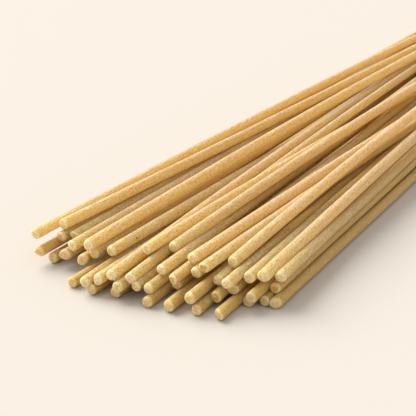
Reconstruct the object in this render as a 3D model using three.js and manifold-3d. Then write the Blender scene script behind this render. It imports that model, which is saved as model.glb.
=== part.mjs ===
// A bundle of dry spaghetti lying on a table, as one solid.
//
// Millimetres, +Z up. The strands run along +Y, from the ragged near end to the far end. They lie
// in three rows with a few loose strands on top, spread like a fan at the near end and gathered
// towards the far end. The rows are laid out first and then settled: gravity presses the strands
// down, touching strands push each other apart, and each one stays a gently bent rod.
import * as THREE from 'three';
import { mergeVertices } from 'three/addons/utils/BufferGeometryUtils.js';
import Module from 'manifold-3d';

// ---------------------------------------------------------------- driving dimensions

const STRAND = {
  diameter: 1.9,
  rowDiameterSpread: 0.04, // share of the diameter, either way
  looseDiameterMean: 1.01,
  looseDiameterSpread: 0.03,
  length: 255,
  lengthSpread: 3,
  bow: 0.8, // sideways bend at mid length, either way
  sides: 8,
  steps: 4, // straight pieces along a bent strand
};

// Each row, from the table up, gives the place of its strand furthest right, the spacing, and how
// far each strand's near end is set back from the line y = 0, counted from right to left. A null is
// a place left empty.
const ROWS = [
  {
    right: 10,
    pitch: 2,
    setbacks: [
      6, 6, 4.5, -1.7, 13, -2.2, 9, -3.4, 12, -3.7, 12, 14,
      -3.4, 12, -4.4, 14, -3.8, 14, 12, 15, 2, 15, 13, 16,
    ],
  },
  {
    right: 9.4,
    pitch: 1.97,
    setbacks: [
      7.9, 3.4, 14, 3.8, 1.5, -2.4, 12, 1.2, null, -2.6, -2.8, -4.3,
      -1.6, -4, -4.7, 12, 2.4, 1.4, 14, 1.6, 12, 0.4, 14,
    ],
  },
  {
    right: 9.2,
    pitch: 1.97,
    setbacks: [
      7.8, 14, 5.5, 1.6, 3.2, 14, 2.6, -0.6, null, 0.9, -2.8, null,
      -3.8, null, null, null, null, null, 2.3, 5.7, 4.5,
    ],
  },
];
const ROW_RISE = 1.62; // from one row to the next, a strand lying in the groove of two others

// Strands on top of the rows: x, setback and height of the near end, and the lean to the right.
const LOOSE_STRANDS = [
  { x: -33, setback: 1, z: 4.2, lean: 4 },
  { x: -30.5, setback: 5.5, z: 4.8, lean: 5 },
  { x: -22.5, setback: 1.5, z: 4.4, lean: 4.5, diameter: 2.1 },
  { x: -19.5, setback: 3, z: 4.2, lean: 3.5 },
  { x: -12, setback: 4, z: 6, lean: 5 },
  { x: -10, setback: 7.5, z: 6.2, lean: 4.5, diameter: 2 },
  { x: -3.5, setback: 4, z: 5.8, lean: 3 },
  { x: -0.5, setback: 2.5, z: 5.8, lean: 2 },
  { x: 1.5, setback: 7, z: 5.9, lean: 1.5, diameter: 2 },
  { x: 8, setback: 6, z: 5.9, lean: -1, diameter: 2.1 },
];

// The fan: a strand leans towards the centre line in proportion to its distance from it.
const FAN = {
  centre: -8,
  length: 250,
  gatherLeft: 0.4, // share of the distance closed over the fan's length
  gatherRight: 0.55,
  leanSpread: 0.25, // degrees, either way
};

const SETTLING = {
  firstStation: -10,
  lastStation: 260,
  stations: 15, // places along the bundle where strands are kept apart
  endMargin: 2,
  rounds: 600,
  quietRounds: 249, // the last rounds, with neither gravity nor pull
  passes: 2,
  drop: 0.02,
  push: 0.35, // share of an overlap that each of the two strands moves back
  homePull: 0.06,
  leastDistance: 1e-9, // keeps two strands on one spot from dividing by zero
  flatLift: 0.1, // a strand that lifts less than this from the table lies flat on it
};

// The core fills the middle of the heap, a little below the strands that show.
const CORE = {
  front: 18,
  back: 236,
  columns: 26,
  stations: 5,
  skin: 1, // depth of the core's top below the strands' tops
  edgeInset: 0.2,
  underside: 0.6,
  leastHeight: 0.25,
};

const PASTA = { color: 0xd9b36c, roughness: 0.62, metalness: 0 };
const DRAW_SEED = 16;

// ---------------------------------------------------------------- laying out the strands

/** Repeatable draws between 0 and 1, by a Lehmer generator. */
function seededDraw(seed) {
  const multiplier = 48271;
  const modulus = 2147483647;
  let state = seed;
  return () => {
    state = (state * multiplier) % modulus;
    return state / modulus;
  };
}

const draw = seededDraw(DRAW_SEED);

/** A draw between -reach and +reach. */
function eitherWay(reach) {
  return (draw() * 2 - 1) * reach;
}

/** The strands of one row, fanned out around the centre line. */
function layRow({ right, pitch, setbacks }, row) {
  const strands = [];
  setbacks.forEach((setback, place) => {
    if (setback === null) return;
    const x = right - pitch * place;
    const gather = x < FAN.centre ? FAN.gatherLeft : FAN.gatherRight;
    const fanLean = Math.atan((-(x - FAN.centre) * gather) / FAN.length);
    strands.push({
      x,
      setback,
      z: STRAND.diameter / 2 + ROW_RISE * row,
      lean: fanLean + THREE.MathUtils.degToRad(eitherWay(FAN.leanSpread)),
      bow: eitherWay(STRAND.bow),
      radius: (STRAND.diameter * (1 + eitherWay(STRAND.rowDiameterSpread))) / 2,
      length: STRAND.length + eitherWay(STRAND.lengthSpread),
    });
  });
  return strands;
}

/** One loose strand, with its own lean and, where it is given, its own diameter. */
function layLooseStrand({ x, setback, z, lean, diameter }) {
  const bow = eitherWay(STRAND.bow);
  const share = STRAND.looseDiameterMean + eitherWay(STRAND.looseDiameterSpread);
  return {
    x,
    setback,
    z,
    lean: THREE.MathUtils.degToRad(lean),
    bow,
    radius: (diameter ?? STRAND.diameter * share) / 2,
    length: STRAND.length + eitherWay(STRAND.lengthSpread),
  };
}

// ---------------------------------------------------------------- settling the heap

const middleStation = (SETTLING.firstStation + SETTLING.lastStation) / 2;
const halfSpan = (SETTLING.lastStation - SETTLING.firstStation) / 2;
const stationIndices = Array.from({ length: SETTLING.stations }, (_, k) => k);
const along = stationIndices.map((k) => (2 * k) / (SETTLING.stations - 1) - 1);
const sumOf = (values) => values.reduce((total, value) => total + value, 0);
const sumSquares = sumOf(along.map((t) => t ** 2));
const sumFourths = sumOf(along.map((t) => t ** 4));

/** The parabola through a strand's station values, as [constant, linear, square]. */
function fitParabola(values) {
  const total = sumOf(values);
  const first = sumOf(values.map((value, k) => value * along[k]));
  const second = sumOf(values.map((value, k) => value * along[k] ** 2));
  const count = SETTLING.stations;
  const square = (count * second - sumSquares * total) / (count * sumFourths - sumSquares ** 2);
  return [(total - square * sumSquares) / count, first / sumSquares, square];
}

function parabolaAt([constant, linear, square], t) {
  return constant + linear * t + square * t * t;
}

/** Puts a strand's station values back on one parabola, as a stiff rod bends. */
function straighten(values) {
  const parabola = fitParabola(values);
  return along.map((t) => parabolaAt(parabola, t));
}

/** Where a strand would lie if nothing pushed it: its x and z at each station. */
function restLine(strand) {
  const xs = along.map((t) => {
    const distance = middleStation + halfSpan * t - strand.setback;
    const share = distance / STRAND.length;
    return strand.x + Math.tan(strand.lean) * distance + strand.bow * 4 * share * (1 - share);
  });
  return { xs, zs: along.map(() => strand.z) };
}

/** Pushes each touching pair of strands apart, at every station that both reach. */
function pushApart(strands, lines, reaches) {
  const shifts = strands.map(() => along.map(() => [0, 0]));
  for (let i = 0; i < strands.length; i += 1) {
    for (let j = i + 1; j < strands.length; j += 1) {
      const contact = strands[i].radius + strands[j].radius;
      for (const k of stationIndices) {
        const dx = lines[i].xs[k] - lines[j].xs[k];
        const dz = lines[i].zs[k] - lines[j].zs[k];
        const distance = Math.hypot(dx, dz) + SETTLING.leastDistance;
        if (!reaches[i][k] || !reaches[j][k] || distance >= contact) continue;
        const share = ((contact - distance) * SETTLING.push) / distance;
        shifts[i][k][0] += share * dx;
        shifts[i][k][1] += share * dz;
        shifts[j][k][0] -= share * dx;
        shifts[j][k][1] -= share * dz;
      }
    }
  }
  lines.forEach((line, i) => {
    line.xs = line.xs.map((x, k) => x + shifts[i][k][0]);
    line.zs = line.zs.map((z, k) => z + shifts[i][k][1]);
  });
}

/** Keeps every strand on or above the table. */
function liftToTable(strands, lines) {
  lines.forEach((line, i) => {
    line.zs = line.zs.map((z) => Math.max(z, strands[i].radius));
  });
}

/** Lays a strand that hardly lifts from the table flat on it, on one of its sides. */
function layFlat(strand) {
  const lift = Math.max(...along.map((t) => parabolaAt(strand.height, t))) - strand.radius;
  if (lift > SETTLING.flatLift) return;
  strand.height = [strand.radius * Math.cos(Math.PI / STRAND.sides), 0, 0];
}

/** Settles the heap, and gives each strand the two parabolas that it then follows. */
function settle(strands) {
  const lines = strands.map(restLine);
  const homes = lines.map((line) => line.xs);
  const reaches = strands.map(({ setback, length }) => along.map((t) => {
    const y = middleStation + halfSpan * t;
    return y >= setback - SETTLING.endMargin && y <= setback + length + SETTLING.endMargin;
  }));
  for (let round = 0; round < SETTLING.rounds; round += 1) {
    const quiet = round >= SETTLING.rounds - SETTLING.quietRounds;
    if (!quiet) lines.forEach((line) => { line.zs = line.zs.map((z) => z - SETTLING.drop); });
    for (let pass = 0; pass < SETTLING.passes; pass += 1) {
      pushApart(strands, lines, reaches);
      liftToTable(strands, lines);
    }
    lines.forEach((line, i) => {
      const pull = quiet ? 0 : SETTLING.homePull;
      line.xs = straighten(line.xs.map((x, k) => x + pull * (homes[i][k] - x)));
      line.zs = straighten(line.zs);
    });
    liftToTable(strands, lines);
  }
  strands.forEach((strand, i) => {
    strand.across = fitParabola(lines[i].xs);
    strand.height = fitParabola(lines[i].zs);
    layFlat(strand);
  });
}

// ---------------------------------------------------------------- shapes

/** The point of a strand's axis at y. */
function axisPoint(strand, y) {
  const t = (y - middleStation) / halfSpan;
  return new THREE.Vector3(parabolaAt(strand.across, t), y, parabolaAt(strand.height, t));
}

/** A strand's axis: the parabola between its two ends as a quadratic Bezier curve. */
function axisCurve(strand) {
  const start = strand.setback;
  const end = start + strand.length;
  const startPoint = axisPoint(strand, start);
  const endPoint = axisPoint(strand, end);
  const middle = axisPoint(strand, (start + end) / 2);
  const control = middle.multiplyScalar(2).addScaledVector(startPoint, -0.5).addScaledVector(endPoint, -0.5);
  return new THREE.QuadraticBezierCurve3(startPoint, control, endPoint);
}

/** A strand: a many-sided rod along its axis, with a flat side down. */
function strandGeometry(strand) {
  const turn = Math.PI / STRAND.sides;
  const corners = Array.from({ length: STRAND.sides }, (_, k) => {
    const angle = turn * (2 * k + 1);
    return new THREE.Vector2(Math.cos(angle), Math.sin(angle)).multiplyScalar(strand.radius);
  });
  return new THREE.ExtrudeGeometry(new THREE.Shape(corners), {
    steps: STRAND.steps,
    extrudePath: axisCurve(strand),
  });
}

/** The height of the heap's top at x, over the strands' axis points at one y. */
function heapTop(strands, points, x) {
  const tops = points.map((point, i) => {
    const offset = Math.abs(x - point.x);
    const { radius } = strands[i];
    return offset < radius ? point.z + Math.sqrt(radius ** 2 - offset ** 2) : 0;
  });
  return Math.max(...tops);
}

/** The core: a slab fitted under the strands' tops and between the outermost strands. */
function coreGeometry(strands) {
  const core = new THREE.BoxGeometry(1, 1, 1, CORE.columns, CORE.stations, 1);
  const corners = core.attributes.position;
  for (let i = 0; i < corners.count; i += 1) {
    const y = THREE.MathUtils.lerp(CORE.front, CORE.back, corners.getY(i) + 0.5);
    const points = strands.map((strand) => axisPoint(strand, y));
    const left = Math.min(...points.map((point) => point.x)) + CORE.edgeInset;
    const right = Math.max(...points.map((point) => point.x)) - CORE.edgeInset;
    const x = THREE.MathUtils.lerp(left, right, corners.getX(i) + 0.5);
    const height = Math.max(heapTop(strands, points, x) - CORE.skin - CORE.underside, CORE.leastHeight);
    corners.setXYZ(i, x, y, CORE.underside + (corners.getZ(i) + 0.5) * height);
  }
  return core;
}

// ---------------------------------------------------------------- joining

const wasm = await Module();
wasm.setup();

/** A closed geometry as a solid that can be joined. */
function toSolid(geometry) {
  const bare = geometry.clone();
  bare.deleteAttribute('normal');
  bare.deleteAttribute('uv');
  const closed = mergeVertices(bare);
  return new wasm.Manifold(new wasm.Mesh({
    numProp: 3,
    vertProperties: new Float32Array(closed.attributes.position.array),
    triVerts: new Uint32Array(closed.index.array),
  }));
}

/** The largest body of a solid: sealed hollows are filled and loose scraps dropped. */
function mainBody(solid) {
  const bodies = solid.decompose();
  return bodies.reduce((largest, body) => (body.volume() > largest.volume() ? body : largest));
}

/** A solid as a geometry, with its origin at the middle of the face that it rests on. */
function toGeometry(solid) {
  const { vertProperties, triVerts } = solid.getMesh();
  const geometry = new THREE.BufferGeometry();
  geometry.setAttribute('position', new THREE.BufferAttribute(vertProperties, 3));
  geometry.setIndex(new THREE.BufferAttribute(triVerts, 1));
  geometry.computeBoundingBox();
  const { min, max } = geometry.boundingBox;
  geometry.translate(-(min.x + max.x) / 2, -(min.y + max.y) / 2, -min.z);
  return geometry;
}

const strands = [...ROWS.flatMap(layRow), ...LOOSE_STRANDS.map(layLooseStrand)];
settle(strands);
const heap = strands
  .map((strand) => toSolid(strandGeometry(strand)))
  .reduce((joined, solid) => joined.add(solid), toSolid(coreGeometry(strands)));

const bundle = new THREE.Mesh(
  toGeometry(mainBody(heap)),
  new THREE.MeshStandardMaterial({ ...PASTA, flatShading: true }),
);
bundle.name = 'spaghetti_bundle';

const part = new THREE.Group();
part.add(bundle);

export default part;
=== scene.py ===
"""The looks of a bundle of dry spaghetti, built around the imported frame.

The strands are laid out and settled in millimetres, by the same rule and from the same sizes as the
solid, and then placed in the frame's box in metres. Each row of strands is one joined mesh.
"""

from __future__ import annotations

import logging
import math
from dataclasses import dataclass, field
from enum import Enum
from typing import Any, Iterable

import bpy
import numpy as np
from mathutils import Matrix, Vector

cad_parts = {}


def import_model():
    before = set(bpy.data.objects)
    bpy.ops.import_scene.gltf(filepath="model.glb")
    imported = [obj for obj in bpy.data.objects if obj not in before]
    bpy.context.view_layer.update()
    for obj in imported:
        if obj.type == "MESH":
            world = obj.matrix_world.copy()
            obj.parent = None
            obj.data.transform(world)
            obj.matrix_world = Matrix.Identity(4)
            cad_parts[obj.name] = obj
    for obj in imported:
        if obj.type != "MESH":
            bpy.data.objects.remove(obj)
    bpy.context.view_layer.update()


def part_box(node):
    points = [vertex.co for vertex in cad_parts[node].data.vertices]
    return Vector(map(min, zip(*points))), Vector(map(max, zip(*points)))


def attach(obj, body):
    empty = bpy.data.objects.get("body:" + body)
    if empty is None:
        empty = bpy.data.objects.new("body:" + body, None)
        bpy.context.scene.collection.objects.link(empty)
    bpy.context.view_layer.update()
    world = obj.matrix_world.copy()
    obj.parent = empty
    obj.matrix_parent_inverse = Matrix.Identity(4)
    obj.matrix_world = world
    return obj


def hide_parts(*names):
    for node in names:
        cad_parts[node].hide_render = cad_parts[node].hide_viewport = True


LOG = logging.getLogger("spaghetti")

NODE = "spaghetti_bundle"
BODY = "root"
LAYER_NAMES = ("strands_floor_row", "strands_second_row", "strands_third_row", "strands_loose")
SPECKLED = "loose_3"  # the strand with the fleck of bran
MM = 0.001  # metres in a millimetre
PICTURE_WIDTH = 416  # pixels
NOISE_MIDDLE = 0.5  # the value that a noise varies around

Triple = tuple[float, float, float]
Range = tuple[float, float]
Colour = Triple


def linear(red: int, green: int, blue: int) -> Colour:
    """The linear colour of a display colour given as 0 to 255."""
    return tuple(((c / 255 + 0.055) / 1.055) ** 2.4 if c > 10 else c / 3294.6 for c in (red, green, blue))


# ------------------------------------------------------------------ layout of the heap


class Draw:
    """Repeatable draws by a Lehmer generator, the same as the solid's."""

    MULTIPLIER = 48271
    MODULUS = 2147483647

    def __init__(self, seed: int) -> None:
        """Starts the draws at a seed."""
        self.state = seed

    def either_way(self, reach: float) -> float:
        """A draw between -reach and +reach."""
        self.state = (self.state * self.MULTIPLIER) % self.MODULUS
        return (self.state / self.MODULUS * 2 - 1) * reach


@dataclass
class Strand:
    """One strand: where it is laid, its size, and the bent line that it settles on."""

    name: str
    x: float
    setback: float
    z: float
    lean: float
    bow: float
    radius: float
    length: float
    across: np.ndarray = field(default_factory=lambda: np.zeros(3))
    height: np.ndarray = field(default_factory=lambda: np.zeros(3))


@dataclass(frozen=True)
class Row:
    """A row of strands: its right-hand place, its spacing, and the near ends' setbacks."""

    right: float
    pitch: float
    setbacks: tuple[float | None, ...]


@dataclass
class HeapLayout:
    """The heap's strands, laid in fanned rows with loose strands on top, and settled."""

    diameter: float = 1.9
    row_diameter_spread: float = 0.04
    loose_diameter_mean: float = 1.01
    loose_diameter_spread: float = 0.03
    length: float = 255.0
    length_spread: float = 3.0
    bow: float = 0.8
    row_rise: float = 1.62
    fan_centre: float = -8.0
    fan_length: float = 250.0
    gather_left: float = 0.4
    gather_right: float = 0.55
    lean_spread: float = 0.25
    seed: int = 16
    rows: tuple[Row, ...] = (
        Row(10, 2, (6, 6, 4.5, -1.7, 13, -2.2, 9, -3.4, 12, -3.7, 12, 14,
                    -3.4, 12, -4.4, 14, -3.8, 14, 12, 15, 2, 15, 13, 16)),
        Row(9.4, 1.97, (7.9, 3.4, 14, 3.8, 1.5, -2.4, 12, 1.2, None, -2.6, -2.8, -4.3,
                        -1.6, -4, -4.7, 12, 2.4, 1.4, 14, 1.6, 12, 0.4, 14)),
        Row(9.2, 1.97, (7.8, 14, 5.5, 1.6, 3.2, 14, 2.6, -0.6, None, 0.9, -2.8, None,
                        -3.8, None, None, None, None, None, 2.3, 5.7, 4.5)),
    )
    # Each loose strand: x, setback, height, lean in degrees, and a diameter where it is its own.
    loose: tuple[tuple[float, ...], ...] = (
        (-33, 1, 4.2, 4),
        (-30.5, 5.5, 4.8, 5),
        (-22.5, 1.5, 4.4, 4.5, 2.1),
        (-19.5, 3, 4.2, 3.5),
        (-12, 4, 6, 5),
        (-10, 7.5, 6.2, 4.5, 2),
        (-3.5, 4, 5.8, 3),
        (-0.5, 2.5, 5.8, 2),
        (1.5, 7, 5.9, 1.5, 2),
        (8, 6, 5.9, -1, 2.1),
    )

    def lay(self) -> list[list[Strand]]:
        """Lays the strands out, before they settle.

        Returns:
            The strands of each row from the floor up, and the loose strands last.
        """
        draw = Draw(self.seed)
        layers = [self._lay_row(number, row, draw) for number, row in enumerate(self.rows)]
        layers.append([self._lay_loose(number, sizes, draw) for number, sizes in enumerate(self.loose)])
        return layers

    def _lay_row(self, number: int, row: Row, draw: Draw) -> list[Strand]:
        """The strands of one row, fanned out around the centre line.

        Args:
            number: the row, counted from the floor up.
            row: its spacing and setbacks.
            draw: the draws for what varies.

        Returns:
            The row's strands from right to left.
        """
        strands = []
        for place, setback in enumerate(row.setbacks):
            if setback is None:
                continue
            x = row.right - row.pitch * place
            gather = self.gather_left if x < self.fan_centre else self.gather_right
            fan_lean = math.atan(-(x - self.fan_centre) * gather / self.fan_length)
            strands.append(Strand(
                name=f"row{number}_{place}",
                x=x,
                setback=setback,
                z=self.diameter / 2 + self.row_rise * number,
                lean=fan_lean + math.radians(draw.either_way(self.lean_spread)),
                bow=draw.either_way(self.bow),
                radius=self.diameter * (1 + draw.either_way(self.row_diameter_spread)) / 2,
                length=self.length + draw.either_way(self.length_spread),
            ))
        return strands

    def _lay_loose(self, number: int, sizes: tuple[float, ...], draw: Draw) -> Strand:
        """One loose strand.

        Args:
            number: its place in the list.
            sizes: x, setback, height, lean in degrees, and perhaps its own diameter.
            draw: the draws for what varies.

        Returns:
            The strand.
        """
        x, setback, z, lean, *own_diameter = sizes
        bow = draw.either_way(self.bow)
        drawn = self.diameter * (self.loose_diameter_mean + draw.either_way(self.loose_diameter_spread))
        diameter = own_diameter[0] if own_diameter else drawn
        length = self.length + draw.either_way(self.length_spread)
        return Strand(f"loose_{number}", x, setback, z, math.radians(lean), bow, diameter / 2, length)


@dataclass
class Settling:
    """How laid strands sink, push each other apart and stay straight rods."""

    first_station: float = -10.0
    last_station: float = 260.0
    stations: int = 15
    end_margin: float = 2.0
    rounds: int = 600
    quiet_rounds: int = 249
    passes: int = 2
    drop: float = 0.02
    push: float = 0.35
    home_pull: float = 0.06
    least_distance: float = 1e-9
    flat_lift: float = 0.1  # a strand that lifts less than this from the floor lies flat on it

    @property
    def middle(self) -> float:
        """The middle of the stations."""
        return (self.first_station + self.last_station) / 2

    @property
    def half_span(self) -> float:
        """Half the length that the stations span."""
        return (self.last_station - self.first_station) / 2

    def point(self, strand: Strand, y: np.ndarray | float) -> np.ndarray:
        """Points of a settled strand's axis.

        Args:
            strand: the strand.
            y: the places along the bundle.

        Returns:
            One row of x, y and z for each place.
        """
        y = np.atleast_1d(np.asarray(y, float))
        t = (y - self.middle) / self.half_span
        powers = np.stack([np.ones_like(t), t, t * t])
        return np.stack([strand.across @ powers, y, strand.height @ powers], axis=1)

    def around(self, strand: Strand, along: np.ndarray, reach: np.ndarray, angle: np.ndarray) -> np.ndarray:
        """Points around a settled strand's axis, square to it.

        Args:
            strand: the strand.
            along: the points' places along the strand, a row for each ring.
            reach: their distances from the axis.
            angle: the angle of each point of a ring.

        Returns:
            One row of x, y and z for each point.
        """
        y = strand.setback + along
        points = self.point(strand, y.ravel()).reshape(*y.shape, 3)
        t = (y - self.middle) / self.half_span
        slope_x = (strand.across[1] + 2 * strand.across[2] * t) / self.half_span
        slope_z = (strand.height[1] + 2 * strand.height[2] * t) / self.half_span
        side = reach * np.cos(angle)
        rise = reach * np.sin(angle)
        points[..., 0] += side
        points[..., 1] -= side * slope_x + rise * slope_z
        points[..., 2] += rise
        return points.reshape(-1, 3)

    def run(self, strands: list[Strand]) -> None:
        """Settles the strands, and gives each its two parabolas.

        Args:
            strands: the strands, as they were laid.
        """
        t = np.linspace(-1, 1, self.stations)
        basis = np.stack([np.ones_like(t), t, t * t], axis=1)
        fit = np.linalg.pinv(basis)
        straighten = (basis @ fit).T
        y = self.middle + self.half_span * t
        radius = np.array([strand.radius for strand in strands])
        setback = np.array([strand.setback for strand in strands])[:, None]
        length = np.array([strand.length for strand in strands])[:, None]
        reaches = (y >= setback - self.end_margin) & (y <= setback + length + self.end_margin)
        home = np.array([self._rest_line(strand, y) for strand in strands])
        x = home.copy()
        z = np.repeat(np.array([strand.z for strand in strands])[:, None], self.stations, axis=1)
        for number in range(self.rounds):
            quiet = number >= self.rounds - self.quiet_rounds
            z -= 0 if quiet else self.drop
            for _ in range(self.passes):
                self._push_apart(x, z, radius, reaches)
            x += 0 if quiet else self.home_pull * (home - x)
            x = x @ straighten
            z = np.maximum(z @ straighten, radius[:, None])
        for strand, across, height in zip(strands, x @ fit.T, z @ fit.T):
            strand.across = across
            strand.height = height
            if (basis @ height).max() - strand.radius <= self.flat_lift:
                strand.height = np.array([strand.radius, 0.0, 0.0])

    def _rest_line(self, strand: Strand, y: np.ndarray) -> np.ndarray:
        """The strand's x at each station if nothing pushed it."""
        share = (y - strand.setback) / HeapLayout.length
        return strand.x + math.tan(strand.lean) * (y - strand.setback) + strand.bow * 4 * share * (1 - share)

    def _push_apart(self, x: np.ndarray, z: np.ndarray, radius: np.ndarray, reaches: np.ndarray) -> None:
        """Pushes each touching pair apart at every station that both reach, and lifts all to the floor.

        Args:
            x: the strands' places across the heap, a row for each strand, which are changed.
            z: their heights, which are changed.
            radius: the strands' radii.
            reaches: which stations each strand reaches.
        """
        dx = x[:, None, :] - x[None, :, :]
        dz = z[:, None, :] - z[None, :, :]
        distance = np.hypot(dx, dz) + self.least_distance
        overlap = radius[:, None, None] + radius[None, :, None] - distance
        touching = reaches[:, None, :] & reaches[None, :, :] & (overlap > 0)
        same = np.arange(len(radius))
        touching[same, same] = False
        share = np.where(touching, overlap * self.push / distance, 0)
        x += (share * dx).sum(axis=1)
        z += (share * dz).sum(axis=1)
        np.maximum(z, radius[:, None], out=z)


@dataclass
class HeapTop:
    """The heap's top, as a grid of heights over its floor."""

    strands: list[Strand]
    settling: Settling
    first_y: float = -9.0
    last_y: float = 279.0
    step_y: float = 3.0
    left: float = -48.0
    right: float = 30.0
    step_x: float = 0.25
    skin_reach: float = 1.0  # how far a strand's top counts as the heap's skin to either side
    shade_reach: float = 6.0  # how far the strands behind shade a place in front of them, for the painted shade
    shelter: float = 1.75  # how far to either side the lowest top is looked for
    edge: float = 1.001  # how many steps before the grid's end a place is kept

    def __post_init__(self) -> None:
        """Works out the grid."""
        self.y = np.arange(self.first_y, self.last_y, self.step_y)
        self.x = np.arange(self.left, self.right, self.step_x)
        heights = np.zeros((len(self.y), len(self.x)))
        for strand in self.strands:
            axis = self.settling.point(strand, self.y)
            offset = self.x[None, :] - axis[:, :1]
            covered = np.abs(offset) < strand.radius
            covered &= ((self.y >= strand.setback) & (self.y <= strand.setback + strand.length))[:, None]
            rise = np.sqrt(np.maximum(strand.radius**2 - offset**2, 0))
            heights = np.maximum(heights, np.where(covered, axis[:, 2:] + rise, 0))
        highest = np.max(self._near_by(heights, self.skin_reach), axis=0)
        smooth = np.mean(self._near_by(highest, self.skin_reach), axis=0)
        rows = round(self.shade_reach / self.step_y)
        self.skin = np.max([np.roll(smooth, shift, axis=0) for shift in range(-rows, 1)], axis=0)
        self.lowest = np.min(self._near_by(heights, self.shelter), axis=0)

    def _near_by(self, grid: np.ndarray, reach: float) -> np.ndarray:
        """A grid moved sideways by every step within a reach."""
        steps = round(reach / self.step_x)
        return np.array([np.roll(grid, shift, axis=1) for shift in range(-steps, steps + 1)])

    def at(self, grid: np.ndarray, x: np.ndarray, y: np.ndarray) -> np.ndarray:
        """A grid's heights over places on the floor.

        Args:
            grid: the skin or the lowest tops.
            x: the places across the heap.
            y: the places along it.

        Returns:
            The heights, between those of the grid.
        """
        across = np.clip((x - self.left) / self.step_x, 0, len(self.x) - self.edge)
        along = np.clip((y - self.first_y) / self.step_y, 0, len(self.y) - self.edge)
        column = across.astype(int)
        row = along.astype(int)
        across = across - column
        along = along - row
        near = grid[row, column] * (1 - across) + grid[row, column + 1] * across
        far = grid[row + 1, column] * (1 - across) + grid[row + 1, column + 1] * across
        return near * (1 - along) + far * along


# ------------------------------------------------------------------ shader writing


class Value:
    """A shader socket. Arithmetic on it adds the Math or Vector Math node that it needs."""

    def __init__(self, shader: "Shader", socket: bpy.types.NodeSocket) -> None:
        """Wraps a socket of a shader."""
        self.shader = shader
        self.socket = socket

    def _combine(self, operation: str, first: Any, second: Any) -> "Value":
        """Adds one node of arithmetic, for vectors where either side is one.

        Args:
            operation: what is done.
            first: the first Value, number or vector.
            second: the second one.

        Returns:
            The result.
        """
        sides = (first, second)
        vector = any(isinstance(s, Value) and s.socket.type in ("VECTOR", "RGBA") for s in sides)
        kind = "ShaderNodeVectorMath" if vector else "ShaderNodeMath"
        values = [(s,) * 3 if vector and isinstance(s, (int, float)) else s for s in sides]
        return self.shader.node(kind, {"operation": operation}, {0: values[0], 1: values[1]})

    def __add__(self, other: Any) -> "Value":
        """self + other."""
        return self._combine("ADD", self, other)

    def __radd__(self, other: Any) -> "Value":
        """other + self."""
        return self._combine("ADD", other, self)

    def __sub__(self, other: Any) -> "Value":
        """self - other."""
        return self._combine("SUBTRACT", self, other)

    def __rsub__(self, other: Any) -> "Value":
        """other - self."""
        return self._combine("SUBTRACT", other, self)

    def __mul__(self, other: Any) -> "Value":
        """self * other."""
        return self._combine("MULTIPLY", self, other)

    def between(self, low: float, high: float) -> "Value":
        """A smooth step from 0 at low to 1 at high, which may also be the lower of the two."""
        settings = {"interpolation_type": "SMOOTHSTEP"}
        return self.shader.node("ShaderNodeMapRange", settings, {0: self, 1: low, 2: high})


class Shader:
    """The node tree of one material, with its Principled shader."""

    def __init__(self, name: str) -> None:
        """Makes an empty material.

        Args:
            name: its name.
        """
        self.material = bpy.data.materials.new(name)
        self.material.use_nodes = True
        self.tree = self.material.node_tree
        self.principled = self.tree.nodes["Principled BSDF"]

    def node(
        self,
        kind: str,
        settings: dict[str, Any] | None = None,
        inputs: dict[int | str, Any] | None = None,
        output: int | str = 0,
    ) -> Value:
        """Adds a node.

        Args:
            kind: the node's type.
            settings: its properties, which are set first.
            inputs: values, or Values to link, by the socket's number or name.
            output: which output is wanted.

        Returns:
            The output as a Value.
        """
        node = self.tree.nodes.new(kind)
        for key, setting in (settings or {}).items():
            setattr(node, key, setting)
        for key, value in (inputs or {}).items():
            self.feed(node.inputs[key], value)
        return Value(self, node.outputs[output])

    def feed(self, socket: bpy.types.NodeSocket, value: Any) -> None:
        """Links a Value to a socket, or sets a plain number or colour on it.

        Args:
            socket: the socket.
            value: the Value, number or colour.
        """
        if isinstance(value, Value):
            self.tree.links.new(value.socket, socket)
        elif isinstance(value, tuple) and socket.type == "RGBA" and len(value) == 3:
            socket.default_value = (*value, 1.0)
        else:
            socket.default_value = value

    def set(self, **inputs: Any) -> None:
        """Sets or links inputs of the Principled shader, named with _ for each space."""
        for name, value in inputs.items():
            self.feed(self.principled.inputs[name.replace("_", " ")], value)

    def blend(self, share: Any, other: Value) -> None:
        """Mixes another shader over the Principled one, as the material's surface.

        Args:
            share: how much of the other shader shows.
            other: the other shader.
        """
        principled = Value(self, self.principled.outputs["BSDF"])
        both = self.node("ShaderNodeMixShader", None, {0: share, 1: principled, 2: other})
        self.feed(self.tree.nodes["Material Output"].inputs["Surface"], both)

    def mix(self, share: Any, first: Any, second: Any) -> Value:
        """A colour between two, by a share."""
        inputs = {0: share, 6: first, 7: second}
        return self.node("ShaderNodeMix", {"data_type": "RGBA"}, inputs, output=2)

    def attribute(self, name: str) -> Value:
        """A number stored on the mesh."""
        return self.node("ShaderNodeAttribute", {"attribute_name": name}, output="Fac")

    def place(self) -> Value:
        """The place on the object, in metres."""
        return self.node("ShaderNodeTexCoord", output="Object")

    def noise(self, vector: Value, detail: float = 2.0, roughness: float = 0.5) -> Value:
        """Noise with features about one unit wide."""
        inputs = {"Vector": vector, "Scale": 1.0, "Detail": detail, "Roughness": roughness}
        return self.node("ShaderNodeTexNoise", None, inputs, output="Fac")

    def bump(self, height: Value, distance: float, below: Value | None = None) -> Value:
        """A bump, over another one where it is given.

        Args:
            height: the noise that raises it.
            distance: its height in metres.
            below: the bump under it.

        Returns:
            The normal.
        """
        inputs: dict[int | str, Any] = {"Height": height, "Distance": distance, "Strength": 1.0}
        if below is not None:
            inputs["Normal"] = below
        return self.node("ShaderNodeBump", None, inputs)


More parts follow.
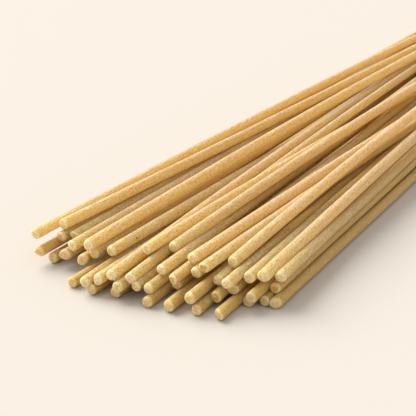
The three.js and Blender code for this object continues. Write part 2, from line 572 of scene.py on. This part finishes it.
@dataclass(frozen=True)
class Patch:
    """A colour that covers another one where a noise or a stored number passes between two values."""

    colour: Colour
    start: float  # the value at which it starts to show
    full: float  # the value at which it shows most
    most: float  # the greatest share that it covers

    def over(self, shader: Shader, value: Value, below: Value) -> Value:
        """The colour below with the patch on it."""
        return shader.mix(value.between(self.start, self.full) * self.most, below, self.colour)


@dataclass(frozen=True)
class PastaFinish:
    """Dry pasta: golden and slightly see-through, with a floury, finely pitted surface."""

    name: str = "dry_pasta"
    # the pasta's golden colour; brighter than the floury one, so the side turned from the key lamp is
    # painted lighter
    golden: Colour = linear(240, 207, 102)
    # the pasta's floury colour, also painted on the side facing the key lamp to darken it
    floury: Colour = linear(200, 164, 118)
    speckle: Colour = linear(255, 238, 198)
    # painted shade: the colour that places deep in the heap turn to
    painted_shade: Colour = linear(198, 156, 70)
    # painted glow: light that comes in through a cut end, on the strand's last stretch
    painted_tip_glow: Colour = linear(252, 228, 138)
    near_end: Colour = linear(252, 232, 156)
    cut_face: Colour = linear(246, 227, 180)
    cut_heart: Colour = linear(206, 170, 62)
    side_pale: Patch = Patch(linear(232, 195, 150), -0.3, 1.0, 0.6)
    side_speckle: Patch = Patch(speckle, 0.5, 0.6, 0.9)
    side_fleck: Patch = Patch(linear(184, 132, 76), 0.5, 0.39, 0.8)
    face_flour: Patch = Patch(floury, 0.56, 0.36, 0.25)
    face_pit: Patch = Patch(linear(206, 168, 104), 0.54, 0.38, 0.5)
    face_speckle: Patch = Patch(speckle, 0.5, 0.62, 0.75)
    near_share: float = 0.6  # how strongly the stretch next to an end is lighter
    tip_share: float = 0.8  # how strongly the tip's painted glow shows
    shade_share: float = 0.6  # how strongly a deep place is darker, as painted shade
    # how strongly a deep cut face is darker, as painted shade
    face_shade_share: float = 0.35
    shade: Range = (0.22, 0.75)  # how buried a place is where the painted shade starts and where it is full
    heart: Range = (0.12, 0.55)  # how far in from the rim a cut face's heart starts and is full
    grain: Triple = (2400.0, 5200.0, 2400.0)  # noise features to the metre, across and along
    fine: Triple = (3200.0, 6000.0, 3200.0)
    mottle: Triple = (1100.0, 900.0, 1100.0)
    die_line: Triple = (2600.0, 60.0, 2600.0)
    key_lit_side: Triple = (-0.6, 0.2, 0.77)  # the side facing the key lamp, painted the darker, paler floury colour as painted light
    key_lit_range: Range = (-0.75, 0.85)
    key_lit_flour: float = 0.9  # how much floury colour the side facing the key lamp is painted with, as painted light
    grain_flour: float = 0.6  # how much each noise and the strand's own tone add to that
    mottle_flour: float = 0.4
    line_flour: float = 0.25
    tone_flour: float = 0.1
    roughness: float = 0.42
    grain_roughness: float = 0.3
    mottle_relief: float = 0.00006  # metres
    grain_relief: float = 0.00016
    through: Colour = linear(253, 230, 168)  # light that passes through a strand
    clearness: float = 0.45  # share of light let through
    dimming: float = 0.2  # how much less a floury grain lets through
    clouding: Range = (0.48, 0.62)  # the fine noise between a clear and a floury grain
    deep_dimming: float = 0.5  # share of it that a deep place keeps back, which adds to its painted shade
    scatter: float = 0.9
    scatter_radius: Triple = (1.0, 0.8, 0.45)
    scatter_depth: float = 0.0012  # metres

    def make(self) -> bpy.types.Material:
        """Builds the material.

        Returns:
            The material.
        """
        shader = Shader(self.name)
        place = shader.place()
        grain = shader.noise(place * self.grain, detail=3.0, roughness=0.65)
        mottle = shader.noise(place * self.mottle)
        fine = shader.noise(place * self.fine, roughness=0.7)
        cut = shader.attribute("cut")
        # how deep in the heap a place lies, which sets the painted shade
        deep = shader.attribute("buried").between(*self.shade)
        side = self._side(shader, grain, mottle, fine, deep)
        face = self._face(shader, mottle, fine, deep)
        relief = shader.bump(mottle, self.mottle_relief)
        relief = shader.bump(grain, self.grain_relief, below=relief)
        shader.set(
            Base_Color=shader.mix(cut, side, face),
            Roughness=self.roughness + grain * self.grain_roughness,
            Normal=relief,
            IOR=1.5,
            Specular_IOR_Level=0.25,
            Subsurface_Weight=self.scatter,
            Subsurface_Radius=self.scatter_radius,
            Subsurface_Scale=self.scatter_depth,
        )
        inputs = {"Color": self.through, "Normal": relief}
        passing = shader.node("ShaderNodeBsdfTranslucent", None, inputs, output="BSDF")
        clear = self.clearness - fine.between(*self.clouding) * self.dimming
        # deep places let less light through, which adds to their painted shade
        shader.blend(clear * (1 - cut) * (1 - deep * self.deep_dimming), passing)
        return shader.material

    def _side(self, shader: Shader, grain: Value, mottle: Value, fine: Value, deep: Value) -> Value:
        """The colour of a strand's side.

        Args:
            shader: the material's shader.
            grain: the noise of the rubbed surface.
            mottle: the broad noise.
            fine: the noise of single grains.
            deep: how deep in the heap the place lies.

        Returns:
            The colour.
        """
        tone = shader.attribute("tone")
        normal = shader.node("ShaderNodeNewGeometry", output="Normal")
        dot_product = {"operation": "DOT_PRODUCT"}
        sides = {0: normal, 1: self.key_lit_side}
        # painted light: the side facing the key lamp is floury and darker, the side turned away golden
        facing_key = shader.node("ShaderNodeVectorMath", dot_product, sides, output="Value")
        die_line = shader.noise(shader.place() * self.die_line)
        flour_and_lit_side = facing_key.between(*self.key_lit_range) * self.key_lit_flour
        flour_and_lit_side = flour_and_lit_side + (grain - NOISE_MIDDLE) * self.grain_flour
        flour_and_lit_side = flour_and_lit_side + (mottle - NOISE_MIDDLE) * self.mottle_flour
        flour_and_lit_side = flour_and_lit_side + (die_line - NOISE_MIDDLE) * self.line_flour
        flour_and_lit_side = flour_and_lit_side + tone * self.tone_flour
        side = shader.mix(flour_and_lit_side.between(0.0, 1.0), self.golden, self.floury)
        side = self.side_pale.over(shader, tone, side)
        side = shader.mix(shader.attribute("near") * self.near_share, side, self.near_end)
        # painted glow at the ends
        side = shader.mix(shader.attribute("tip") * self.tip_share, side, self.painted_tip_glow)
        side = self.side_speckle.over(shader, fine, side)
        side = self.side_fleck.over(shader, fine, side)
        # painted shade: places deep in the heap turn darker
        return shader.mix(deep * self.shade_share, side, self.painted_shade)

    def _face(self, shader: Shader, mottle: Value, fine: Value, deep: Value) -> Value:
        """The colour of a cut face.

        Args:
            shader: the material's shader.
            mottle: the broad noise.
            fine: the noise of single grains.
            deep: how deep in the heap the place lies.

        Returns:
            The colour.
        """
        from_rim = 1 - shader.attribute("radial")
        heart = from_rim.between(*self.heart) * shader.attribute("heart")
        face = shader.mix(heart, self.cut_face, self.cut_heart)
        face = self.face_flour.over(shader, mottle, face)
        face = self.face_pit.over(shader, fine, face)
        face = self.face_speckle.over(shader, fine, face)
        # painted shade: cut faces deep in the heap turn darker
        return shader.mix(deep * self.face_shade_share, face, self.painted_shade)


@dataclass(frozen=True)
class CoreFinish:
    """The middle of the heap, seen only through gaps and painted dark brown as painted shade."""

    name: str = "heap_middle_painted_shade"
    # painted shade: dark brown in the gaps into the heap, lighter on the streaks' ridges
    deep: Colour = linear(112, 66, 26)
    painted_shade_ridge: Colour = linear(158, 108, 50)
    streak: Triple = (700.0, 30.0, 700.0)  # noise features to the metre, across and along
    ridges: Range = (0.3, 0.7)
    roughness: float = 0.6
    streak_roughness: float = 0.3
    relief: float = 0.0003  # metres

    def make(self) -> bpy.types.Material:
        """Builds the material.

        Returns:
            The material.
        """
        shader = Shader(self.name)
        streak = shader.noise(shader.place() * self.streak, detail=3.0)
        shader.set(
            Base_Color=shader.mix(streak.between(*self.ridges), self.deep, self.painted_shade_ridge),
            Roughness=self.roughness + streak * self.streak_roughness,
            Normal=shader.bump(streak, self.relief),
        )
        return shader.material


@dataclass(frozen=True)
class SpeckFinish:
    """A fleck of bran."""

    name: str = "bran"
    dark: Colour = linear(62, 40, 24)
    light: Colour = linear(104, 70, 40)
    patch: Triple = (6000.0, 6000.0, 6000.0)  # noise features to the metre
    patches: Range = (0.35, 0.65)
    roughness: float = 0.55
    patch_roughness: float = 0.2

    def make(self) -> bpy.types.Material:
        """Builds the material.

        Returns:
            The material.
        """
        shader = Shader(self.name)
        patch = shader.noise(shader.place() * self.patch)
        shader.set(
            Base_Color=shader.mix(patch.between(*self.patches), self.dark, self.light),
            Roughness=self.roughness + patch * self.patch_roughness,
        )
        return shader.material


@dataclass(frozen=True)
class FloorFinish:
    """A plain warm white surface."""

    name: str = "pale_floor"
    colour: Colour = (0.5753, 0.527, 0.4683)  # linear

    def make(self) -> bpy.types.Material:
        """Builds the material.

        Returns:
            The material.
        """
        shader = Shader(self.name)
        shader.set(Base_Color=self.colour, Roughness=0.9, Specular_IOR_Level=0.1)
        return shader.material


# ------------------------------------------------------------------ strands as meshes


class Cut(Enum):
    """How a strand's end was cut or broken."""

    SQUARE = "square"
    SLANTED = "slanted"
    JAGGED = "jagged"
    CHIPPED = "chipped"
    BURRED = "burred"


@dataclass
class StrandEnd:
    """The face of one end: how far each point of the cut stands back from a square cut.

    The rim and the face are described by the share of the radius and by the angle around the axis.
    """

    cut: Cut
    draw: np.random.Generator
    slant: float = 0.42  # tangent of a slanted cut
    square_slant: float = 0.2  # greatest tangent of any other cut
    jag: float = 0.26
    chip_depth: float = 0.55
    chip_width: float = 0.55  # radians
    burr: float = 0.22
    unevenness: float = 0.06
    crumble: float = 0.045  # roughness of the broken face
    fewest_waves: int = 2  # around the rim
    most_waves: int = 7
    least_wave: float = 0.3  # the smallest wave's share of the largest
    rounding: float = 0.0  # radius of the rim, which is a quarter circle
    reach: float = 1.6  # how far the cut's slant is felt along the side

    def __post_init__(self) -> None:
        """Draws what is particular to this end."""
        self.turn = self.draw.uniform(0, math.tau)
        self.tilt = self.slant if self.cut is Cut.SLANTED else self.draw.uniform(0, self.square_slant)
        self.waves = [
            (count, self.draw.uniform(0, math.tau), self.draw.uniform(self.least_wave, 1) / count)
            for count in range(self.fewest_waves, self.most_waves + 1)
        ]

    def setback(self, share: float, angle: np.ndarray, radius: float) -> np.ndarray:
        """How far the face stands back, in millimetres.

        Args:
            share: distance from the axis as a share of the radius.
            angle: the angle around the axis.
            radius: the strand's radius.

        Returns:
            The setback at each point, negative where the face stands proud.
        """
        around = np.cos(angle - self.turn)
        ripple = sum(size * np.cos(count * angle + phase) for count, phase, size in self.waves)
        bulge = np.exp(-((1 - around) / (self.chip_width**2)) * 2)
        back = self.tilt * radius * share * around + self.unevenness * ripple * share**2
        if self.cut is Cut.JAGGED:
            back = back + self.jag * ripple * share**3
        if self.cut is Cut.CHIPPED:
            back = back + self.chip_depth * bulge * share**3
        if self.cut is Cut.BURRED:
            back = back - self.burr * bulge * share**4
        return back + self.crumble * self.draw.uniform(-1, 1, len(angle))

    def ring(self, share: float, station: float, angle: np.ndarray, radius: float) -> np.ndarray:
        """Where a ring's points lie along the strand, counted from this end.

        Args:
            share: the ring's share of the radius, which is 1 on the side.
            station: how far in the ring lies, which is 0 on the face.
            angle: the angle of each point.
            radius: the strand's radius.

        Returns:
            The points' places.
        """
        beyond = max(share * radius - radius + self.rounding, 0)
        rim = self.rounding - math.sqrt(self.rounding**2 - beyond**2)
        back = self.setback(share, angle, radius) + rim
        return station + back * math.exp(-station / self.reach)


@dataclass
class StrandShape:
    """Turns a settled strand into a ring-by-ring mesh with rounded, cut ends."""

    sides: int = 18
    spacing: float = 2.3
    end_rings: tuple[float, ...] = (0.0, 0.16, 0.42, 0.9, 1.5)  # distance of the rings next to a rim
    face_shares: tuple[float, ...] = (0.25, 0.45, 0.62, 0.76, 0.87, 0.95)  # rings on the cut face
    rim_share: float = 0.99  # a point nearer the axis than this lies on a cut face
    rim_round: Range = (0.28, 0.62)  # least and greatest rounding of a cut's rim
    glow_reach: float = 2.4  # how far along a strand its end's painted glow reaches
    near_reach: float = 16.0  # how far along a strand it looks lighter than its middle
    oval: float = 0.012  # share of the radius, as the next two are
    wobble: float = 0.011
    thickening: float = 0.0066
    wobble_length: float = 7.3  # millimetres along the strand to the radian
    thickening_length: float = 2.9
    phases: int = 6  # the last two are spare
    deepest: float = 5.0  # depth under the heap's skin at which a point counts as fully buried, in full painted shade

    def mesh(self, strand: Strand, heap_top: HeapTop, draw: np.random.Generator,
             cuts: tuple[Cut, Cut], heart: float) -> dict[str, np.ndarray]:
        """Builds one strand.

        Args:
            strand: the settled strand.
            heap_top: tells how deep in the heap each point lies.
            draw: the draws for what varies.
            cuts: the near and the far end's cut.
            heart: how golden the middle of its cut faces is.

        Returns:
            Points, quads, triangles and the stored numbers of each point.
        """
        ends = [StrandEnd(cut, draw) for cut in cuts]
        for end, rounding in zip(ends, draw.uniform(*self.rim_round, len(ends))):
            end.rounding = rounding
        phases = draw.uniform(0, math.tau, self.phases)
        angle = np.arange(self.sides) * math.tau / self.sides
        share, along = self._rings(strand, ends, angle)
        reach = share * strand.radius * self._swell(along, angle, phases)
        quads, triangles = self._faces(len(share))
        middles = np.array([[0.0], [strand.length]])
        points = np.concatenate([
            heap_top.settling.around(strand, along, reach, angle),
            heap_top.settling.around(strand, middles, np.zeros((2, 1)), np.zeros(1)),
        ])
        from_end = np.maximum(np.minimum(along, strand.length - along).ravel(), 0)
        depth = heap_top.at(heap_top.skin, points[:, 0], points[:, 1]) - points[:, 2]
        return {
            "points": points,
            "quads": quads,
            "triangles": triangles,
            "radial": np.concatenate([share.ravel(), [0, 0]]),
            "cut": np.concatenate([share.ravel() < self.rim_share, [1, 1]]),
            "tone": np.full(len(points), draw.uniform(-1, 1)),
            "tip": np.concatenate([np.exp(-from_end / self.glow_reach), [1, 1]]),
            "near": np.concatenate([np.exp(-from_end / self.near_reach), [1, 1]]),
            "heart": np.full(len(points), heart),
            # how deep under the heap's skin each point lies, which sets the painted shade
            "buried": np.clip(depth / self.deepest, 0, 1),
        }

    def _rings(self, strand: Strand, ends: list[StrandEnd],
               angle: np.ndarray) -> tuple[np.ndarray, np.ndarray]:
        """The rings, from the middle of the near face to the middle of the far one.

        Args:
            strand: the strand.
            ends: its near and far end.
            angle: the angle of each point of a ring.

        Returns:
            The share of the radius and the place along the strand, a row for each ring.
        """
        near, far = ends
        inner = np.arange(self.end_rings[-1] + self.spacing, strand.length / 2, self.spacing)
        rings = [(share, 0.0) for share in self.face_shares]
        rings += [(1.0, station) for station in (*self.end_rings, *inner)]
        along = [near.ring(*ring, angle, strand.radius) for ring in rings]
        along += [strand.length - far.ring(*ring, angle, strand.radius) for ring in reversed(rings)]
        shares = np.array([share for share, _ in rings + rings[::-1]])
        return np.repeat(shares[:, None], self.sides, axis=1), np.array(along)

    def _swell(self, along: np.ndarray, angle: np.ndarray, phases: np.ndarray) -> np.ndarray:
        """How thick the strand is at each point.

        Args:
            along: the points' places along the strand.
            angle: the angle of each point of a ring.
            phases: where each unevenness starts.

        Returns:
            The thickness as a share of the strand's own.
        """
        swell = 1 + self.oval * np.cos(2 * angle + phases[0])[None, :]
        side = np.cos(angle + phases[2])[None, :]
        swell = swell + self.wobble * np.sin(along / self.wobble_length + phases[1]) * side
        return swell + self.thickening * np.sin(along / self.thickening_length + phases[3])

    def _faces(self, rings: int) -> tuple[np.ndarray, np.ndarray]:
        """The faces over the rings' points, which the two end faces' middles follow.

        Args:
            rings: how many rings there are.

        Returns:
            The quads between the rings, and the triangles of a fan at either end.
        """
        number = np.arange(rings * self.sides).reshape(rings, self.sides)
        after = np.roll(number, -1, axis=1)
        quads = np.stack([number[:-1], after[:-1], after[1:], number[1:]], axis=-1).reshape(-1, 4)
        near_middle = np.full(self.sides, number.size)
        near_fan = np.stack([near_middle, after[0], number[0]], axis=-1)
        far_fan = np.stack([near_middle + 1, number[-1], after[-1]], axis=-1)
        return quads, np.concatenate([near_fan, far_fan])


@dataclass
class Piece:
    """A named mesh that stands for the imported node."""

    name: str
    points: np.ndarray
    faces: list[list[int]]
    numbers: dict[str, np.ndarray] = field(default_factory=dict)

    def build(self) -> bpy.types.Object:
        """Makes the object, smooth shaded, with its stored numbers.

        Returns:
            The object.
        """
        mesh = bpy.data.meshes.new(self.name)
        mesh.from_pydata((self.points * MM).tolist(), [], self.faces)
        for name, values in self.numbers.items():
            stored = mesh.attributes.new(name, "FLOAT", "POINT")
            stored.data.foreach_set("value", values.astype(np.float32))
        mesh.polygons.foreach_set("use_smooth", [True] * len(mesh.polygons))
        mesh.validate()
        piece = bpy.data.objects.new(self.name, mesh)
        bpy.context.scene.collection.objects.link(piece)
        return piece


class HeapPart:
    """A part of the heap that becomes one piece."""

    def dress(self, piece: bpy.types.Object, material: bpy.types.Material) -> None:
        """Gives a piece its material, and lets it ride on the body in the node's place.

        Args:
            piece: the part's piece.
            material: its finish.
        """
        piece.data.materials.append(material)
        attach(piece, BODY)
        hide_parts(NODE)
        LOG.info("%s: %d faces", piece.name, len(piece.data.polygons))


@dataclass
class StrandLayer(HeapPart):
    """One row of strands, or the loose ones on top, as a joined mesh."""

    name: str
    strands: list[Strand]
    heap_top: HeapTop
    seed: int
    shape: StrandShape = field(default_factory=StrandShape)
    cut_shares: tuple[tuple[Cut, float], ...] = (
        (Cut.SQUARE, 0.62),
        (Cut.SLANTED, 0.12),
        (Cut.JAGGED, 0.10),
        (Cut.CHIPPED, 0.09),
        (Cut.BURRED, 0.07),
    )
    # Near ends whose cut stands out.
    known_cuts: dict[str, Cut] = field(default_factory=lambda: {
        "row2_3": Cut.CHIPPED,
        "row2_7": Cut.SLANTED,
        "row2_9": Cut.JAGGED,
        "row2_18": Cut.SQUARE,
        "row2_19": Cut.SLANTED,
        "loose_5": Cut.SQUARE,
        "loose_6": Cut.BURRED,
        "loose_8": Cut.SQUARE,
        "loose_9": Cut.SQUARE,
    })
    # Strands that are paler (up to 1) or more golden (down to -1) than the rest.
    known_tones: dict[str, float] = field(default_factory=lambda: {
        "loose_0": -0.6,
        "loose_2": -0.4,
        "loose_4": -0.7,
        "loose_5": 0.5,
        "loose_6": 0.9,
        "loose_7": 0.7,
        "loose_8": 1.0,
        "loose_9": 0.8,
    })
    golden_hearts: tuple[str, ...] = ("row1_0", "row1_4", "row2_7", "loose_7")
    common_heart: float = 0.3  # how golden the heart of any other strand is at most
    stored: tuple[str, ...] = ("radial", "cut", "tone", "tip", "near", "heart", "buried")

    def joined(self) -> dict[str, Any]:
        """Builds the layer's strands.

        Returns:
            The points and faces of them all, and the stored numbers of each point.
        """
        draw = np.random.default_rng(self.seed)
        kinds, odds = zip(*self.cut_shares)
        parts = []
        for strand in self.strands:
            near, far = (kinds[k] for k in draw.choice(len(kinds), size=2, p=odds))
            cuts = (self.known_cuts.get(strand.name, near), far)
            heart = 1.0 if strand.name in self.golden_hearts else draw.uniform(0.0, self.common_heart)
            part = self.shape.mesh(strand, self.heap_top, draw, cuts, heart)
            if strand.name in self.known_tones:
                part["tone"][:] = self.known_tones[strand.name]
            parts.append(part)
        starts = np.cumsum([0] + [len(part["points"]) for part in parts])
        faces = []
        for part, start in zip(parts, starts):
            faces += (part["quads"] + start).tolist() + (part["triangles"] + start).tolist()
        arrays = {key: np.concatenate([part[key] for part in parts]) for key in ("points", *self.stored)}
        return {"faces": faces, **arrays}

    def build(self, shift: np.ndarray, joined: dict[str, Any]) -> bpy.types.Object:
        """Makes the piece from its joined arrays, moved into the frame."""
        numbers = {key: joined[key] for key in self.stored}
        return Piece(self.name, joined["points"] + shift, joined["faces"], numbers).build()


@dataclass
class HeapCore(HeapPart):
    """The heap's own core: a slab under the strands, which closes the gaps from within."""

    heap_top: HeapTop
    front: float = 24.0
    back: float = 228.0
    columns: int = 44
    stations: int = 40
    depth: float = 2.3  # below the lowest of the strands' tops near by
    underside: float = 0.5
    edge_inset: float = 0.9
    least_height: float = 0.3

    def build(self, shift: np.ndarray) -> bpy.types.Object:
        """Makes the closed slab.

        Args:
            shift: the move into the frame.

        Returns:
            The piece.
        """
        heap = self.heap_top
        top = np.zeros((self.stations, self.columns, 3))
        for row, y in enumerate(np.linspace(self.front, self.back, self.stations)):
            across = np.array([heap.settling.point(strand, y)[0, 0] for strand in heap.strands])
            x = np.linspace(across.min() + self.edge_inset, across.max() - self.edge_inset, self.columns)
            along = np.full(self.columns, y)
            lowest = heap.at(heap.lowest, x, along)
            height = np.maximum(lowest - self.depth, self.underside + self.least_height)
            top[row] = np.stack([x, along, height], axis=1)
        bottom = top.copy()
        bottom[..., 2] = self.underside
        number = np.arange(self.stations * self.columns).reshape(self.stations, self.columns)
        below = number + number.size
        rim = np.concatenate([number[0], number[1:, -1], number[-1, -2::-1], number[-2:0:-1, 0]])
        after = np.roll(rim, -1)
        faces = self._sheet(number) + self._sheet(below[:, ::-1])
        faces += np.stack([rim, rim + number.size, after + number.size, after], axis=1).tolist()
        points = np.concatenate([top.reshape(-1, 3), bottom.reshape(-1, 3)]) + shift
        return Piece("heap_core", points, faces).build()

    @staticmethod
    def _sheet(number: np.ndarray) -> list[list[int]]:
        """Quads over a grid of point numbers, facing up where columns run along x and rows along y."""
        corners = (number[:-1, :-1], number[:-1, 1:], number[1:, 1:], number[1:, :-1])
        return np.stack(corners, axis=-1).reshape(-1, 4).tolist()


@dataclass
class BranSpeck(HeapPart):
    """A dark fleck of bran stuck to a strand."""

    strand: Strand
    settling: Settling
    along: float = 6.2
    angle: float = math.radians(20)
    half_length: float = 0.24
    half_width: float = 0.13
    thickness: float = 0.05
    lumps: int = 3
    lump_size: float = 0.18  # share of the fleck's size
    lump_turn: float = 1.0
    rings: int = 6
    sides: int = 12

    def build(self, shift: np.ndarray) -> bpy.types.Object:
        """Makes the flattened fleck, lying on the strand's surface.

        Args:
            shift: the move into the frame.

        Returns:
            The piece.
        """
        out = np.array([math.cos(self.angle), 0, math.sin(self.angle)])
        across = np.array([-math.sin(self.angle), 0, math.cos(self.angle)])
        forward = np.array([0.0, 1.0, 0.0])
        centre = self.settling.point(self.strand, self.strand.setback + self.along)[0]
        centre = centre + out * self.strand.radius
        points = [centre - out * self.thickness]
        for ring in range(1, self.rings):
            polar = math.pi * ring / self.rings
            for side in range(self.sides):
                turn = math.tau * side / self.sides
                lumpy = 1 + self.lump_size * math.cos(self.lumps * turn + self.lump_turn)
                points.append(
                    centre
                    - out * self.thickness * math.cos(polar)
                    + forward * self.half_length * lumpy * math.sin(polar) * math.cos(turn)
                    + across * self.half_width * lumpy * math.sin(polar) * math.sin(turn)
                )
        points.append(centre + out * self.thickness)
        return Piece("bran_speck", np.array(points) + shift, self._faces()).build()

    def _faces(self) -> list[list[int]]:
        """The faces over the fleck's rings and its two poles.

        Returns:
            The faces, a slice at a time.
        """
        far_pole = 1 + (self.rings - 1) * self.sides
        last_ring = far_pole - self.sides
        faces: list[list[int]] = []
        for side in range(self.sides):
            after = (side + 1) % self.sides
            faces.append([0, 1 + after, 1 + side])
            for start in range(1, last_ring, self.sides):
                faces.append([start + side, start + after, start + self.sides + after,
                              start + self.sides + side])
            faces.append([last_ring + side, last_ring + after, far_pole])
        return faces


# ------------------------------------------------------------------ the studio


@dataclass(frozen=True)
class Lamp:
    """A broad, distant lamp."""

    name: str
    strength: float
    width: float  # the angle that it fills, in radians
    place: Triple  # the direction that its light comes from

    def build(self) -> None:
        """Makes the lamp."""
        lamp = bpy.data.lights.new(self.name, "SUN")
        lamp.energy = self.strength
        lamp.angle = self.width
        light = bpy.data.objects.new(self.name, lamp)
        light.rotation_euler = Vector(self.place).to_track_quat("Z", "Y").to_euler()
        bpy.context.scene.collection.objects.link(light)


@dataclass
class Studio:
    """Floor, light and camera."""

    floor_half: float = 4.0
    key: Lamp = Lamp("soft_key", 4.4, math.radians(47), (-0.95, 0.33, 0.82))
    sky: Colour = (1.0, 0.99, 0.97)
    sky_strength: float = 0.78
    focal_pixels: float = 1160.0  # the lens's focal length, in pixels of the picture's width
    sensor: float = 36.0
    pitch: float = math.radians(22.6)
    turn: float = math.radians(30.0)
    camera_place: Triple = (82.24, -140.01, 85.0)  # in the layout, in millimetres
    nearest: float = 0.001  # metres in front of the camera from which things are seen

    def build(self, shift: np.ndarray) -> None:
        """Makes the floor, the lights and the camera.

        Args:
            shift: the move into the frame.
        """
        self._floor()
        self._light()
        self._camera(shift)

    def _floor(self) -> None:
        """A wide pale floor under the heap."""
        half = self.floor_half
        mesh = bpy.data.meshes.new("floor")
        corners = [(-half, -half, 0), (half, -half, 0), (half, half, 0), (-half, half, 0)]
        mesh.from_pydata(corners, [], [(0, 1, 2, 3)])
        floor = bpy.data.objects.new("floor", mesh)
        bpy.context.scene.collection.objects.link(floor)
        mesh.materials.append(FloorFinish().make())

    def _light(self) -> None:
        """A broad soft light from behind and to the left, and an even surround."""
        self.key.build()
        world = bpy.data.worlds.new("surround")
        world.use_nodes = True
        background = world.node_tree.nodes["Background"]
        background.inputs["Color"].default_value = (*self.sky, 1)
        background.inputs["Strength"].default_value = self.sky_strength
        bpy.context.scene.world = world

    def _camera(self, shift: np.ndarray) -> None:
        """The camera, placed in the layout's own frame and moved with it.

        Args:
            shift: the move into the frame.
        """
        data = bpy.data.cameras.new("camera")
        data.sensor_width = self.sensor
        data.lens = self.focal_pixels / PICTURE_WIDTH * self.sensor
        data.clip_start = self.nearest
        camera = bpy.data.objects.new("camera", data)
        camera.location = Vector((np.array(self.camera_place) + shift) * MM)
        camera.rotation_euler = (math.pi / 2 - self.pitch, 0, self.turn)
        bpy.context.scene.collection.objects.link(camera)
        bpy.context.scene.camera = camera


def frame_shift(points: Iterable[np.ndarray]) -> np.ndarray:
    """The move, in millimetres, that puts the layout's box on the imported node's box.

    Args:
        points: the points of every layer.

    Returns:
        The move along x, y and z.
    """
    every = np.concatenate(list(points))
    low, high = every.min(axis=0), every.max(axis=0)
    box_low, box_high = (np.array(corner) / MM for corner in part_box(NODE))
    shift = (box_low + box_high) / 2 - (low + high) / 2
    shift[2] = box_low[2] - low[2]
    return shift


def main() -> None:
    logging.basicConfig(level=logging.INFO, format="%(name)s: %(message)s")
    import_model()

    settling = Settling()
    layers = HeapLayout().lay()
    strands = [strand for layer in layers for strand in layer]
    settling.run(strands)
    LOG.info("settled %d strands", len(strands))

    heap_top = HeapTop(strands, settling)
    named = enumerate(zip(LAYER_NAMES, layers))
    rows = [StrandLayer(name, layer, heap_top, seed) for seed, (name, layer) in named]
    arrays = [row.joined() for row in rows]
    shift = frame_shift(joined["points"] for joined in arrays)

    Studio().build(shift)
    pasta = PastaFinish().make()
    for row, joined in zip(rows, arrays):
        row.dress(row.build(shift, joined), pasta)
    core = HeapCore(heap_top)
    core.dress(core.build(shift), CoreFinish().make())
    speckled = next(strand for strand in strands if strand.name == SPECKLED)
    speck = BranSpeck(speckled, settling)
    speck.dress(speck.build(shift), SpeckFinish().make())

    scene = bpy.context.scene
    scene.view_settings.view_transform = "Standard"


if __name__ == "__main__":
    main()
